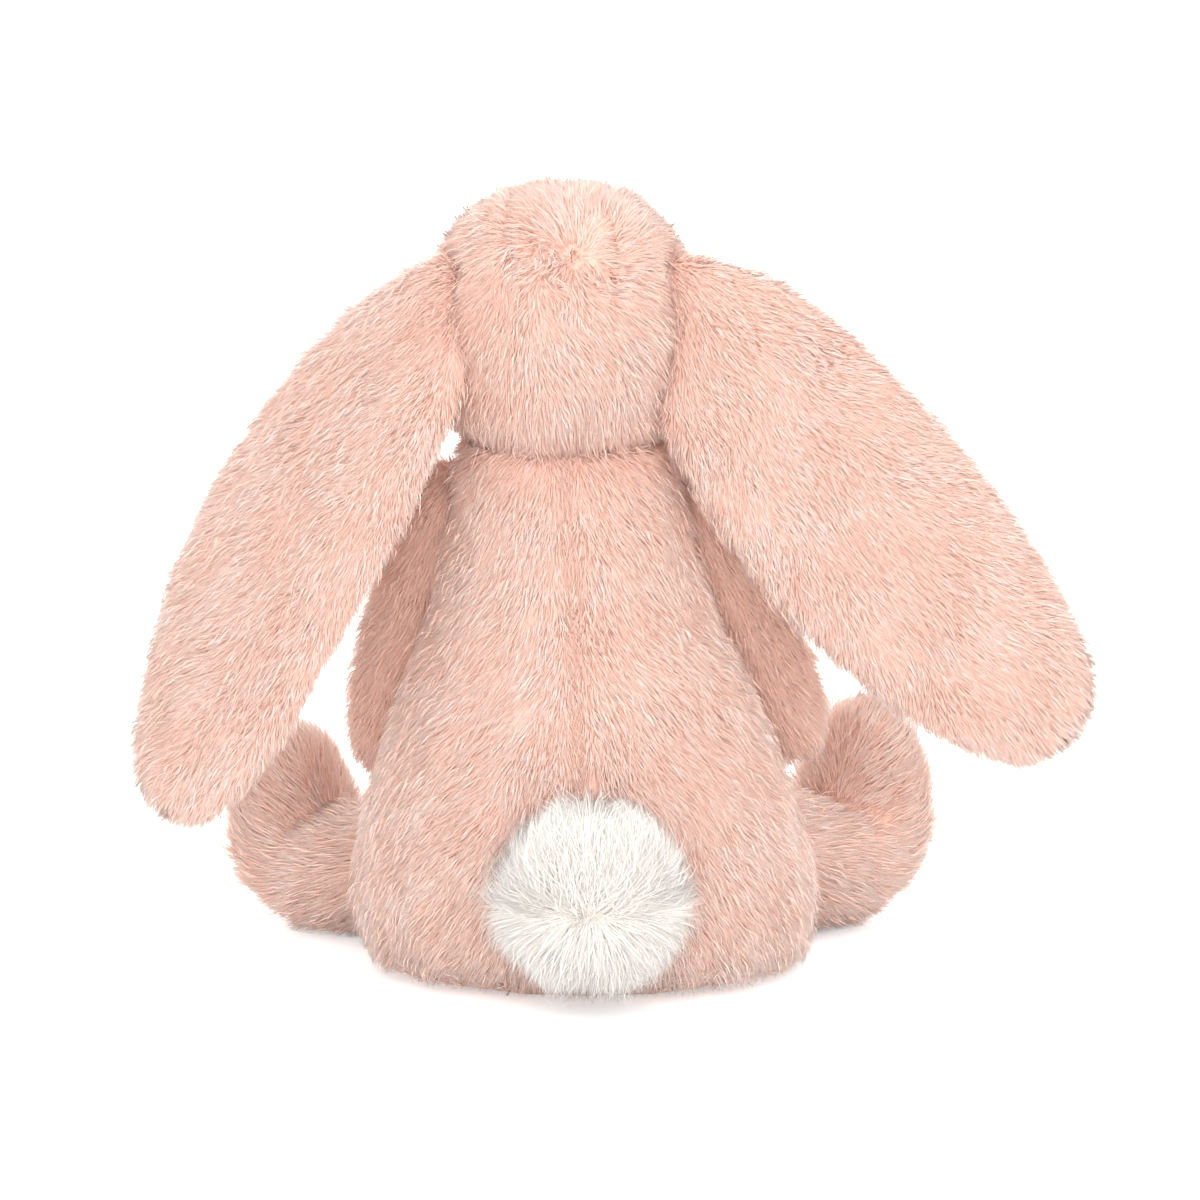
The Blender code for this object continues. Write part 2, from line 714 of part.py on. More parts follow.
def build():
    clear_scene()
    parts = new_collection("plush_rabbit")
    cutters = new_collection("cutters")
    body = body_form(cutters)
    head = head_form(cutters)
    neck = joint_empty("neck_joint", body_axis(BODY_HEIGHT), parts)
    limb_roots, limb_sockets, ear_roots, ear_sockets = [], [], [], []
    for side in SIDES:
        for name, place, radius, roots, sockets in (
            ("arm_" + side, arm_pivot(side), ARM_ROOT_RADIUS, limb_roots, limb_sockets),
            ("leg_" + side, hip_pivot(side), LEG_ROOT_RADIUS, limb_roots, limb_sockets),
            ("ear_" + side, ear_pivot(side, head), EAR_ROOT_RADIUS, ear_roots, ear_sockets),
        ):
            roots.append(ball_tool(name + "_root", place, radius, cutters))
            sockets.append(ball_tool(name + "_socket", place, radius + SOCKET_CLEARANCE, cutters))
    beside_body = (body.keep_out(limb_roots),)
    beside_head = (head.keep_out(ear_roots),)
    for side in SIDES:
        place = arm_pivot(side)
        joint = joint_empty("arm_" + side + "_joint", place, parts)
        make_arm(side, arm_form(side, place, cutters), place, beside_body, parts, cutters, joint)
        place = hip_pivot(side)
        joint = joint_empty("leg_" + side + "_joint", place, parts)
        make_leg(side, leg_form(side, place, cutters), place, beside_body, parts, cutters, joint)
        place = ear_pivot(side, head)
        joint = joint_empty("ear_" + side + "_joint", place, parts, neck)
        make_ear(side, ear_form(side, place, cutters), place, beside_head, parts, cutters, joint)
    make_body(body, limb_sockets, parts, cutters)
    make_head(head, ear_sockets, parts, cutters, neck)
    make_tail(tail_form(body, cutters), body, parts)


build()
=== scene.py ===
"""A sitting plush rabbit seen from behind: pile on sewn skins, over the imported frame."""

import json
import math

import bmesh
import bpy
import numpy as np
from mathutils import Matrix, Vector
from mathutils.bvhtree import BVHTree
from mathutils.kdtree import KDTree

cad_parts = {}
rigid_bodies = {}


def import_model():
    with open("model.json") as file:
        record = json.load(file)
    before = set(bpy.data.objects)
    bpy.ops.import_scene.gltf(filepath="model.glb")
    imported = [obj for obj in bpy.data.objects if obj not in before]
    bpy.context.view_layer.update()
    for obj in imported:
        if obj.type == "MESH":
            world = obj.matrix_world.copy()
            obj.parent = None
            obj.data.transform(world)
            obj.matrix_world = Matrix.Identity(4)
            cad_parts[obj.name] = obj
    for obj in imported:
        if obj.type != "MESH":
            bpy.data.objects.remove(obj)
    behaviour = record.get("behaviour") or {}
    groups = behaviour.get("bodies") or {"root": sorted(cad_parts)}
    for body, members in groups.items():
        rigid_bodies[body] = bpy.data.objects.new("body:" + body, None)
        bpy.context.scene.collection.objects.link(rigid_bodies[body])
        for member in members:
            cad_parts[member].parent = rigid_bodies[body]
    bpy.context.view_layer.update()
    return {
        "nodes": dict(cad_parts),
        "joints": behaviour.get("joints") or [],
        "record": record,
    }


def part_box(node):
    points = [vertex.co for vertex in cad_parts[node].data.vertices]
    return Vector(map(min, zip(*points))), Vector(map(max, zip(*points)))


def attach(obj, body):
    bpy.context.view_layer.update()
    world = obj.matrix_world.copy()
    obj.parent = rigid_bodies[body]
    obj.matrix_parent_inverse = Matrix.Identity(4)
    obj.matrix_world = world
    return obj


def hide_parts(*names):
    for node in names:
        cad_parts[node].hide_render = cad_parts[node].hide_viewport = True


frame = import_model()

# Colours, linear
# Roots: the pile's own deeper pink, made deeper and warmer as painted shade for light bounced deep in the
# pile
ROOT_PINK = (0.84, 0.41, 0.30)
STREAK_PINK = (0.93, 0.635, 0.54)
TIP_PINK = (0.99, 0.885, 0.835)
ROOT_WHITE = (0.965, 0.925, 0.88)
STREAK_WHITE = (0.965, 0.93, 0.89)
TIP_WHITE = (0.97, 0.94, 0.905)
SKIN_PINK = (0.90, 0.58, 0.48)
SKIN_WHITE = (0.90, 0.84, 0.77)

# Short straight strands and the long bent ones over them: width in metres, strands per square metre
UNDER = {"width": 0.00042, "per_area": 2.90e6, "bent": False, "length_share": 0.86, "triangles": 4}
OVER = {"width": 0.00038, "per_area": 0.28e6, "bent": True, "length_share": 1.0, "triangles": 10}
MOST_TRIANGLES = 190000
FIRST_SEED = 100
LOWEST = 0.0004
ROOT_SINK = 0.0006
RIDGE_SHARE = 0.6
WIDTH_SPREAD = (0.7, 1.25)
LENGTH_SPREAD = (0.72, 1.18)

# Slow changes over space: how many waves make one, how their wavelengths vary, and their usual height
WAVES = 5
WAVE_SPREAD = (0.6, 1.5)
WAVES_HEIGHT = 2.6

# How strands turn and stand, with the wavelength in metres and the seed of each slow change
TURN_SHARE, TURN_WAVE, TURN_SEED = 0.22, 0.022, 3
STIR_WAVE, STIR_SEED = 0.007, 7
STAND_SHARE, STAND_WAVE, STAND_SEED = 0.35, 0.012, 5
STAND_SCATTER = 0.10
LEAST_STAND = 0.08
LEAST_FLAT = 0.05
PARTING_STAND = 0.95
PARTING_WIDTH = 0.004
STIRRED_WIDTH = 0.014

# Clumps, and the bend in the middle of a long strand
CLUMP_STRANDS = 10
FEWEST_CLUMPS = 8
PULL_SPREAD = (0.4, 1.0)
MIDDLE_PULL = 0.35
MIDDLE_STAND = 1.45
MIDDLE_LAY = 0.72
MIDDLE_WIDTH = 0.8
MIDDLE_ALONG = 0.55

# Tone of a strand, from its clump, its own chance and a slow change over the skin, less painted shade along
# the back seam, in creases against other parts and around partings
CLUMP_TONE = 0.55
OWN_TONE = 0.45
SLOW_TONE, SLOW_WAVE, SLOW_SEED = 0.12, 0.030, 9
TONE_LIMITS = (0.03, 0.97)
SEAM_SHADE_WIDTH = 0.0018
SEAM_SHADE_DEPTH = 0.5
CREASE_SHADE_WIDTH = 0.009
CREASE_SHADE_DEPTH = 0.45
PARTING_SHADE_DEPTH = 0.12

# Map of the pile, where a strand's tone is u and its length is v
MAP_SPREAD = 0.012
MAP_EDGE = 0.01

# Skins
SAME_POINT = 0.000002
SMALLEST_EDGE = 0.00001
LONGEST_EDGE = 0.0065
OFF_SKIN = 0.00002
NEAR_SEAM = 0.0012
NEAR_SOCKET = 0.0023
SOCKET_REACH = {"head": 0.036, "ear": 0.016, "arm": 0.015, "leg": 0.026}
SWELL_PRESSURE = 4.0
SWELL_QUALITY = 4
SWELL_MASS = 0.05
SWELL_FRAMES = 12
MOST_SWELL = 0.0015
SWELL_MARGIN = 0.014
RESTING_HEIGHT = 0.0025
RESTING_NORMAL = -0.8

# Fillings, with how deep their lumps are
LEAST_DENT = 0.0003
DENT_DEPTH, DENT_WAVE, DENT_SEED = 0.0004, 0.014, 21
MOST_DENT = 0.0012
POCKET_EDGE = 0.006
FILLING_SLOTS = ("polyester_fill", "pellet_cloth")

# Studio
FLOOR_HALF_SIZE = 40.0
FLOOR_WHITE = (0.92, 0.92, 0.92)
FLOOR_GLOW = (0.45, 0.45, 0.45)
WORLD_COLOUR = (1.0, 0.98, 0.96)
WORLD_STRENGTH = 1.3
LAMP_COLOUR = (1.0, 0.985, 0.965)
# Place, width and power of each lamp, in metres and watts
LAMPS = {
    "top_lamp": ((-0.10, 0.30, 1.5), 1.4, 6.0),
    "back_lamp": ((-0.10, 1.6, 0.30), 1.5, 22.0),
    "front_lamp": ((0.40, -1.6, 0.60), 1.5, 18.0),
}

# Camera
CAMERA_ELEVATION = 8.0
CAMERA_DISTANCE = 1.3
LOOK_AT = Vector((-0.003, 0.0, 0.0936))
VIEW_ACROSS = 0.300
SENSOR = 36.0

JOINTS = {joint["name"]: joint for joint in frame["joints"]}
BODY_OF = {}
for body_name, members in frame["record"]["behaviour"]["bodies"].items():
    for member in members:
        BODY_OF[member] = body_name
SLOT_OF = {part["node"]: part["material_slot"] for part in frame["record"]["subparts"]}


class Value:
    """A socket whose maths is written as a Python expression."""

    def __init__(self, finish, socket):
        self.finish = finish
        self.socket = socket

    def maths(self, operation, first, second):
        return self.finish.node("ShaderNodeMath", {"operation": operation}, {0: first, 1: second})

    def __add__(self, other):
        return self.maths("ADD", self, other)

    def __radd__(self, other):
        return self.maths("ADD", other, self)

    def __rsub__(self, other):
        return self.maths("SUBTRACT", other, self)

    def __rmul__(self, other):
        return self.maths("MULTIPLY", other, self)

    def __pow__(self, other):
        return self.maths("POWER", self, other)


class Finish:
    """A material, and one method that adds any node to it."""

    def __init__(self, name):
        self.material = bpy.data.materials.new(name)
        self.material.use_nodes = True
        self.tree = self.material.node_tree
        self.shader = self.tree.nodes["Principled BSDF"]

    def put(self, socket, value):
        if isinstance(value, Value):
            self.tree.links.new(value.socket, socket)
        elif isinstance(value, tuple) and len(value) == 3 and socket.type == "RGBA":
            socket.default_value = (*value, 1.0)
        else:
            socket.default_value = value

    def node(self, kind, settings, sockets, out=0):
        made = self.tree.nodes.new(kind)
        for name, value in settings.items():
            setattr(made, name, value)
        for name, value in sockets.items():
            self.put(made.inputs[name], value)
        return Value(self, made.outputs[out])

    def mix(self, share, first, second):
        sockets = {0: share, 6: first, 7: second}
        return self.node("ShaderNodeMix", {"data_type": "RGBA"}, sockets, out=2)

    def attribute(self, name):
        return self.node("ShaderNodeAttribute", {"attribute_name": name}, {}, out=2)

    def place(self):
        return self.node("ShaderNodeTexCoord", {}, {}, out=3)

    def light_path(self, kind):
        return self.node("ShaderNodeLightPath", {}, {}, out=kind)

    def noise(self, scale, detail=2.0):
        sockets = {"Vector": self.place(), "Scale": scale, "Detail": detail}
        return self.node("ShaderNodeTexNoise", {}, sockets)

    def bump(self, height, strength, distance):
        sockets = {"Height": height, "Strength": strength, "Distance": distance}
        return self.node("ShaderNodeBump", {}, sockets)

    def set(self, **sockets):
        for name, value in sockets.items():
            self.put(self.shader.inputs[name.replace("_", " ")], value)
        return self.material


def pile_finish(name, root, streak, tip):
    """Pile that is darker at its root and in its streaks, and pale at its tips; its root colour and its low
    tones carry painted shade.
    """
    made = Finish(name)
    tone = made.attribute("tone")
    along = made.attribute("along")
    strand = made.mix(tone, streak, tip)
    colour = made.mix(along**0.55, root, strand)
    made.set(Base_Color=colour, Roughness=0.82, Specular_IOR_Level=0.18)
    return made.set(Sheen_Weight=0.22, Sheen_Roughness=0.5)


def skin_finish(name, colour):
    """Knitted backing cloth under the pile."""
    made = Finish(name)
    fleck = made.noise(900.0)
    shade = made.mix(fleck, tuple(0.8 * part for part in colour), colour)
    return made.set(Base_Color=shade, Roughness=0.95, Normal=made.bump(fleck, 0.4, 0.0005))


def fibre_finish(name, low, high):
    """Loose fibre, behind a pocket of the cover's cloth at each socket."""
    made = Finish(name)
    tuft = made.noise(260.0, 6.0)
    shade = made.mix(made.attribute("pocket"), made.mix(tuft, low, high), SKIN_PINK)
    return made.set(Base_Color=shade, Roughness=0.95, Normal=made.bump(tuft, 0.7, 0.001))


def pellet_finish():
    """Woven bag cloth, pushed out by the pellets inside."""
    made = Finish("pellet_bag_cloth")
    cells = made.node("ShaderNodeTexVoronoi", {}, {"Vector": made.place(), "Scale": 260.0})
    shade = made.mix(cells, (0.76, 0.74, 0.70), (0.62, 0.60, 0.56))
    return made.set(Base_Color=shade, Roughness=0.9, Normal=made.bump(1.0 - cells, 0.8, 0.002))


def eye_finish():
    """Polished black plastic with a warm brown depth."""
    made = Finish("eye_black")
    cloud = made.noise(120.0)
    shade = made.mix(cloud, (0.006, 0.005, 0.005), (0.022, 0.012, 0.008))
    return made.set(Base_Color=shade, Roughness=0.06 + 0.05 * cloud, Specular_IOR_Level=0.3)


def washer_finish():
    made = Finish("washer_white")
    grain = made.noise(700.0)
    shade = made.mix(grain, (0.74, 0.74, 0.72), (0.84, 0.84, 0.82))
    return made.set(Base_Color=shade, Roughness=0.4 + 0.15 * grain)


def thread_finish():
    """Satin stitches that run across the nose."""
    made = Finish("nose_stitches")
    across = {"Vector": made.place(), "Scale": 330.0, "Distortion": 0.6, "Detail": 1.0}
    stitches = made.node("ShaderNodeTexWave", {"bands_direction": "Z"}, across)
    shade = made.mix(stitches, (0.50, 0.17, 0.16), (0.80, 0.40, 0.37))
    return made.set(Base_Color=shade, Roughness=0.5, Normal=made.bump(stitches, 0.6, 0.0006))


def mesh_arrays(mesh):
    """Points, point normals and triangles of a mesh, and the face that each triangle is in."""
    count = len(mesh.vertices)
    points = np.empty(count * 3, np.float32)
    normals = np.empty(count * 3, np.float32)
    mesh.vertices.foreach_get("co", points)
    mesh.vertex_normals.foreach_get("vector", normals)
    mesh.calc_loop_triangles()
    triangles = np.empty(len(mesh.loop_triangles) * 3, np.int32)
    mesh.loop_triangles.foreach_get("vertices", triangles)
    faces = np.empty(len(mesh.loop_triangles), np.int32)
    mesh.loop_triangles.foreach_get("polygon_index", faces)
    points = points.reshape(-1, 3).astype(float)
    normals = normals.reshape(-1, 3).astype(float)
    return points, normals, triangles.reshape(-1, 3), faces


def unit(vectors):
    return vectors / np.maximum(np.linalg.norm(vectors, axis=-1, keepdims=True), 1e-12)


def flat_on(vectors, normals):
    """What is left of the vectors along a surface with these normals."""
    return unit(vectors - normals * np.sum(vectors * normals, axis=1, keepdims=True))


def wobble(points, wavelength, seed):
    """A smooth number between about -1 and 1 that wanders over space."""
    draw = np.random.default_rng(seed)
    total = np.zeros(len(points))
    for _ in range(WAVES):
        wave = draw.normal(size=3)
        wave *= 2.0 * math.pi / wavelength / np.linalg.norm(wave) * draw.uniform(*WAVE_SPREAD)
        total += np.sin(points @ wave + draw.uniform(0.0, 2.0 * math.pi))
    return total / WAVES_HEIGHT


def smooth_step(values, low, high):
    share = np.clip((values - low) / (high - low), 0.0, 1.0)
    return share * share * (3.0 - 2.0 * share)


def closeness(distance, width):
    """One at no distance, falling off smoothly over this width."""
    return np.exp(-np.square(distance / width))


def add_values(mesh, name, values):
    """One number for each point of a mesh, for a material to read."""
    layer = mesh.attributes.new(name, "FLOAT", "POINT")
    layer.data.foreach_set("value", values.astype(np.float32))


def add_piece(name, mesh, material):
    piece = bpy.data.objects.new(name, mesh)
    bpy.context.scene.collection.objects.link(piece)
    mesh.materials.clear()
    mesh.materials.append(material)
    return piece


def tree_of(wanted):
    """The faces of the nodes that are wanted, for finding what lies near."""
    made = bmesh.new()
    for node, obj in frame["nodes"].items():
        if wanted(node):
            made.from_mesh(obj.data)
    tree = BVHTree.FromBMesh(made)
    made.free()
    return tree


def body_tree(body_name, left_out=None):
    """The faces of one body's nodes."""
    return tree_of(lambda node: BODY_OF[node] == body_name and node != left_out)


def crease_shade_tree(node):
    """The faces of every node that doesn't move with this one, near which the pile gets painted shade."""
    return tree_of(lambda other: BODY_OF[other] != BODY_OF[node])


def sockets_of(body_name):
    """The other body, place and reach of each joint of a body, and whether pile grows in its socket."""
    found = []
    for joint in frame["joints"]:
        reach = SOCKET_REACH[joint["name"].split("_")[0]]
        if joint["child"] == body_name:
            found.append((joint["parent"], Vector(joint["pos_m"]), reach, False))
        elif joint["parent"] == body_name:
            found.append((joint["child"], Vector(joint["pos_m"]), reach, joint["name"] != "head_turn"))
    return found


def bare(place, normal, seams, sockets):
    """Whether no seam or socket lies close in front of this spot of a skin."""
    start = place + normal * OFF_SKIN
    if seams.ray_cast(start, normal, NEAR_SEAM)[0] is not None:
        return False
    for joined, centre, reach in sockets:
        if (place - centre).length < reach and joined.ray_cast(start, normal, NEAR_SOCKET)[0] is not None:
            return False
    return True


def skin_mesh(node):
    """The node's skin in finer triangles, and a list of its bare faces."""
    made = bmesh.new()
    made.from_mesh(frame["nodes"][node].data)
    bmesh.ops.remove_doubles(made, verts=made.verts, dist=SAME_POINT)
    bmesh.ops.dissolve_degenerate(made, dist=SMALLEST_EDGE, edges=made.edges)
    for _ in range(3):
        long = [edge for edge in made.edges if edge.calc_length() > LONGEST_EDGE]
        if not long:
            break
        bmesh.ops.subdivide_edges(made, edges=long, cuts=1)
        bmesh.ops.triangulate(made, faces=made.faces)
    made.normal_update()
    seams = body_tree(BODY_OF[node], left_out=node)
    sockets = [
        (body_tree(joined), centre, reach)
        for joined, centre, reach, holds in sockets_of(BODY_OF[node])
        if not holds
    ]
    open_air = [bare(face.calc_center_median(), face.normal, seams, sockets) for face in made.faces]
    mesh = bpy.data.meshes.new(node + "_skin")
    made.to_mesh(mesh)
    made.free()
    mesh.shade_smooth()
    return mesh, np.array(open_air, bool)


def plump(piece, node, open_air):
    """Swells the bare side of a skin between its seams, with cloth pressure."""
    mesh = piece.data
    points, _, triangles, faces = mesh_arrays(mesh)
    held = np.unique(triangles[~open_air[faces]])
    for _, centre, reach, _ in sockets_of(BODY_OF[node]):
        close = np.linalg.norm(points - np.array(centre), axis=1) < reach + SWELL_MARGIN
        held = np.union1d(held, np.flatnonzero(close))
    group = piece.vertex_groups.new(name="held")
    group.add(held.tolist(), 1.0, "REPLACE")
    cloth = piece.modifiers.new("swell", "CLOTH")
    settings = cloth.settings
    settings.quality = SWELL_QUALITY
    settings.mass = SWELL_MASS
    settings.vertex_group_mass = group.name
    settings.use_pressure = True
    settings.uniform_pressure_force = SWELL_PRESSURE
    settings.effector_weights.gravity = 0.0
    cloth.point_cache.frame_start = 1
    cloth.point_cache.frame_end = SWELL_FRAMES
    cloth.collision_settings.use_collision = False
    scene = bpy.context.scene
    for step in range(1, SWELL_FRAMES + 1):
        scene.frame_set(step)
    graph = bpy.context.evaluated_depsgraph_get()
    swollen = piece.evaluated_get(graph).to_mesh()
    moved = np.empty(len(points) * 3, np.float32)
    swollen.vertices.foreach_get("co", moved)
    piece.evaluated_get(graph).to_mesh_clear()
    piece.modifiers.remove(cloth)
    piece.vertex_groups.remove(group)
    scene.frame_set(1)
    shift = moved.reshape(-1, 3).astype(float) - points
    size = np.linalg.norm(shift, axis=1, keepdims=True)
    shift *= np.minimum(1.0, MOST_SWELL / np.maximum(size, 1e-9))
    shift[held] = 0.0
    moved = points + shift
    moved[:, 2] = np.maximum(moved[:, 2], 0.0)
    mesh.vertices.foreach_set("co", moved.astype(np.float32).ravel())
    mesh.update()


class Pile:
    """How the pile of one skin lies: its length, how upright it is, and the way it is combed."""

    def __init__(self, length, upright, comb, **settings):
        self.length = length
        self.upright = upright
        self.comb = comb
        self.clump = settings.get("clump", 0.40)
        self.wild = settings.get("wild", 0.13)
        self.fine = settings.get("fine", 1.0)
        self.parting = settings.get("parting")
        self.stir = settings.get("stir", 0.0)
        self.seam = settings.get("seam")
        # Painted shade: how much darker the whole pile is, for a piece that lies in shade
        self.deep = settings.get("deep", 0.0)
        self.soft = settings.get("soft", 0.22)


def bare_triangles(mesh, open_air):
    """Points and point normals of a skin, and its bare triangles with their areas."""
    points, normals, triangles, faces = mesh_arrays(mesh)
    triangles = triangles[open_air[faces]]
    corner = points[triangles]
    spans = np.cross(corner[:, 1] - corner[:, 0], corner[:, 2] - corner[:, 0])
    return points, normals, triangles, np.linalg.norm(spans, axis=1) / 2.0


def pick_roots(mesh, open_air, count, draw):
    """Random spots on the bare triangles of a skin, and the way each one faces."""
    points, normals, triangles, areas = bare_triangles(mesh, open_air)
    chosen = draw.choice(len(triangles), size=count, p=areas / areas.sum())
    first = np.sqrt(draw.uniform(size=count))
    second = draw.uniform(size=count)
    shares = np.stack([1.0 - first, first * (1.0 - second), first * second], axis=1)[:, :, None]
    roots = np.sum(points[triangles[chosen]] * shares, axis=1)
    facing = unit(np.sum(normals[triangles[chosen]] * shares, axis=1))
    return roots, facing


def nearest(points, centres):
    tree = KDTree(len(centres))
    for index, centre in enumerate(centres):
        tree.insert(centre, index)
    tree.balance()
    return np.array([tree.find(point)[1] for point in points])


def strand_points(roots, facing, pile, draw, length_share, others):
    """Each strand's middle and tip, gathered into clumps, the way it lies, and its tone with painted shade
    in it.
    """
    count = len(roots)
    lay = flat_on(pile.comb(roots, facing), facing)
    aside = np.cross(facing, lay)
    turn = TURN_SHARE * wobble(roots, TURN_WAVE, TURN_SEED) + pile.wild * draw.normal(size=count)
    upright = pile.upright * (1.0 + STAND_SHARE * wobble(roots, STAND_WAVE, STAND_SEED))
    upright += STAND_SCATTER * draw.normal(size=count)
    parting_shade = 0.0
    if pile.parting is not None:
        parted = pile.parting(roots)
        stirred = closeness(parted, STIRRED_WIDTH)
        turn += pile.stir * stirred * wobble(roots, STIR_WAVE, STIR_SEED)
        upright += (PARTING_STAND - pile.upright) * closeness(parted, PARTING_WIDTH)
        # Painted shade in the stirred pile around a parting
        parting_shade = PARTING_SHADE_DEPTH * stirred
    lay = lay * np.cos(turn)[:, None] + aside * np.sin(turn)[:, None]
    upright = np.clip(upright, LEAST_STAND, 1.0)
    length = pile.length * length_share * draw.uniform(*LENGTH_SPREAD, size=count)
    flat = np.sqrt(np.maximum(LEAST_FLAT, 1.0 - upright**2))
    reach = facing * upright[:, None] + lay * flat[:, None]
    tips = roots + reach * length[:, None]
    centres = draw.choice(count, size=max(FEWEST_CLUMPS, count // CLUMP_STRANDS), replace=False)
    owner = centres[nearest(roots, roots[centres])]
    pull = pile.clump * draw.uniform(*PULL_SPREAD, size=count)[:, None]
    meet = roots[owner] + reach[owner] * length[:, None]
    tips = tips + (meet - tips) * pull
    bend = facing * (upright * MIDDLE_STAND)[:, None] + lay * (flat * MIDDLE_LAY)[:, None]
    middles = roots + bend * (0.5 * length)[:, None]
    middles = middles + (roots[owner] - roots) * pull * MIDDLE_PULL
    tone = CLUMP_TONE * draw.uniform(size=count)[owner] + OWN_TONE * draw.uniform(size=count)
    # Painted shade: the whole piece darker where it lies in shade, such as the arms under the ears
    tone = tone + SLOW_TONE * wobble(roots, SLOW_WAVE, SLOW_SEED) - pile.deep
    # Painted shade: strands darker in creases where other parts lie close, and around partings
    apart = np.array([others.find_nearest(root)[3] for root in roots])
    tone -= parting_shade + CREASE_SHADE_DEPTH * closeness(apart, CREASE_SHADE_WIDTH)
    # Painted shade along the back seam
    if pile.seam is not None:
        tone -= SEAM_SHADE_DEPTH * closeness(pile.seam(roots), SEAM_SHADE_WIDTH)
    return middles, tips, lay, np.clip(tone, *TONE_LIMITS)


def strand_arrays(roots, facing, middles, tips, lay, width, bent):
    """Closed three-sided strands: points, triangles, how far along each point is, and points per strand."""
    count = len(roots)
    aside = np.cross(facing, lay)
    corners = [aside * 0.5, -aside * 0.5, facing * RIDGE_SHARE]
    sunk = roots - facing * ROOT_SINK
    rings = [sunk[:, None] + np.stack(corners, axis=1) * width[:, None, None]]
    along = [np.zeros(3)]
    if bent:
        rings.append(middles[:, None] + np.stack(corners, axis=1) * (MIDDLE_WIDTH * width)[:, None, None])
        along.append(np.full(3, MIDDLE_ALONG))
    points = np.concatenate([*rings, tips[:, None]], axis=1)
    along = np.concatenate([*along, np.ones(1)])
    tip = points.shape[1] - 1
    faces = [(0, 1, 2)]
    for side in range(3):
        after = (side + 1) % 3
        if bent:
            faces += [(side, side + 3, after), (after, side + 3, after + 3)]
            faces.append((side + 3, tip, after + 3))
        else:
            faces.append((side, tip, after))
    offsets = (np.arange(count) * points.shape[1])[:, None, None]
    triangles = np.array(faces)[None] + offsets
    return points.reshape(-1, 3), triangles.reshape(-1, 3), np.tile(along, count), points.shape[1]


def pile_mesh(name, skin, open_air, pile, draw, others):
    """All the strands of one skin as one mesh, with their tone and place along the strand."""
    area = bare_triangles(skin, open_air)[3].sum()
    per_area = sum(coat["per_area"] * coat["triangles"] for coat in (UNDER, OVER))
    thin = min(1.0, MOST_TRIANGLES / (area * per_area * pile.fine))
    points, triangles, along, tones, guides = [], [], [], [], []
    start = 0
    for coat in (UNDER, OVER):
        count = int(area * coat["per_area"] * pile.fine * thin)
        roots, facing = pick_roots(skin, open_air, count, draw)
        middles, tips, lay, tone = strand_points(roots, facing, pile, draw, coat["length_share"], others)
        width = coat["width"] * draw.uniform(*WIDTH_SPREAD, size=count) / math.sqrt(thin * pile.fine)
        places, faces, shares, each = strand_arrays(roots, facing, middles, tips, lay, width, coat["bent"])
        points.append(places)
        triangles.append(faces + start)
        along.append(shares)
        tones.append(np.repeat(tone, each))
        guides.append(np.repeat(facing, each, axis=0))
        start += len(places)
    points = np.concatenate(points)
    points[:, 2] = np.maximum(points[:, 2], LOWEST)
    triangles = np.concatenate(triangles)
    along = np.concatenate(along)
    tones = np.concatenate(tones)
    mesh = bpy.data.meshes.new(name)
    mesh.vertices.add(len(points))
    mesh.vertices.foreach_set("co", points.astype(np.float32).ravel())
    mesh.loops.add(len(triangles) * 3)
    mesh.loops.foreach_set("vertex_index", triangles.astype(np.int32).ravel())
    mesh.polygons.add(len(triangles))
    mesh.polygons.foreach_set("loop_start", np.arange(0, len(triangles) * 3, 3, dtype=np.int32))
    mesh.update(calc_edges=True)
    add_values(mesh, "tone", tones)
    add_values(mesh, "along", along)
    corner = triangles.ravel()
    spread = np.where(corner % 2 == 0, -MAP_SPREAD, MAP_SPREAD)
    across = np.clip(tones[corner] + spread, 0.0, 1.0)
    up = MAP_EDGE + (1.0 - 2.0 * MAP_EDGE) * along[corner]
    layer = mesh.uv_layers.new(name="OFBake")
    layer.data.foreach_set("uv", np.stack([across, up], axis=1).astype(np.float32).ravel())
    mesh.shade_smooth()
    normals = np.empty(len(points) * 3, np.float32)
    mesh.vertex_normals.foreach_get("vector", normals)
    soft = unit((1.0 - pile.soft) * normals.reshape(-1, 3) + pile.soft * np.concatenate(guides))
    mesh.normals_split_custom_set_from_vertices(soft.tolist())
    return mesh


def joint_point(name):
    return np.array(JOINTS[name]["pos_m"])


def middle_of(node):
    low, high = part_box(node)
    return np.array((low + high) / 2.0)


# Combing: places and widths in metres, and the share of each direction
DOWN = np.array((0.0, 0.0, -1.0))
UP = -DOWN
NECK = joint_point("head_turn")
SIDEWAYS = np.array((1.0, 0.0, 0.0))
LEVEL = np.array((1.0, 1.0, 0.0))
CROWN = np.array((0.004, 0.028, 0.184))
MUZZLE = np.array((0.006, -0.044, 0.165))
TAIL_MIDDLE = middle_of("tail_cover")
TAIL_GATHER_DROP = 0.002
TAIL_GATHER_WIDTH = 0.004
TAIL_SPREAD = 0.35
TAIL_DEPTH_SHARE = np.array((1.0, 0.4, 0.0))
BACK_SPREAD = 0.42
BACK_SPREAD_WIDTH = 0.014
BASE_DROP = 0.01
HEAD_FALL = 0.55
HEAD_SWIRL = 0.45
FACE_RISE = 0.25
FACE_EDGE = (-0.004, 0.007)
EAR_SPREAD = 0.55
EAR_SPREAD_WIDTH = 0.03
EAR_MOST_SPREAD = 1.2
FOOT_REACH = (0.030, 0.062)
FOOT_LEAN = 0.3
THIGH_FALL = 0.25


def from_back_seam(points):
    return points[:, 0] - NECK[0] * points[:, 2] / NECK[2]


def body_comb(points, _facing):
    """Down the back, and a little outwards from the seam in its middle."""
    outward = np.tanh(from_back_seam(points) / BACK_SPREAD_WIDTH)
    return DOWN + BACK_SPREAD * SIDEWAYS * outward[:, None]


def base_comb(points, _facing):
    """Outwards from the middle of the seat."""
    return points * LEVEL + BASE_DROP * DOWN


